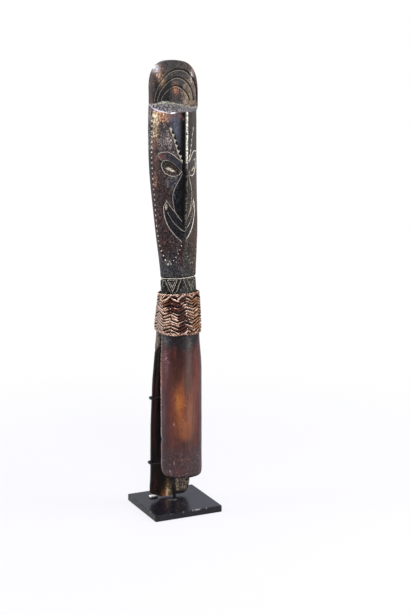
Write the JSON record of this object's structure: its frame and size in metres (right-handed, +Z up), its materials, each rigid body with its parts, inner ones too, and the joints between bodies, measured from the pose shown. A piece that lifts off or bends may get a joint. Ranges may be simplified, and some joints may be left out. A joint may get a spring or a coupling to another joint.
{
  "type": "sago tongs on stand",
  "caption": "Carved wooden sago tongs with a masked handle and a plaited cane band, held upright by a small square steel display stand.",
  "frame": {"origin": "middle of the stand's underside, on the surface it stands on", "axes": "+Z up along the tongs, -Y the way the carved face looks, +X to the right seen from the front"},
  "size_m": [0.07, 0.07, 0.4335],
  "materials": {
    "carved_wood": "dark palm wood, polished by handling, with lime in the cuts",
    "rear_wood": "dark, dull, worn pale at the tip",
    "cane": "split cane, satin",
    "black_steel": "black satin",
    "sleeve": "black shrink tube",
    "pad": "white felt"
  },
  "bodies": {
    "stand_and_rear_blade": {"base_plate": "black_steel", "post": "black_steel", "rest_pad": "pad", "rear_blade": "rear_wood", "upper_left_clip": "black_steel", "upper_right_clip": "black_steel", "lower_left_clip": "black_steel", "lower_right_clip": "black_steel", "upper_left_sleeve": "sleeve", "upper_right_sleeve": "sleeve", "lower_left_sleeve": "sleeve", "lower_right_sleeve": "sleeve"},
    "front_blade": {"front_blade_handle": "carved_wood", "plaited_band": "cane"}
  },
  "joints": [
    {"name": "pinch", "type": "hinge", "parent": "stand_and_rear_blade", "child": "front_blade", "pos_m": [0, -0.0095, 0.208], "axis": [1, 0, 0], "range_deg": [0, 5.5], "stiffness_Nm_per_rad": 10, "springref_deg": -1.15}
  ]
}
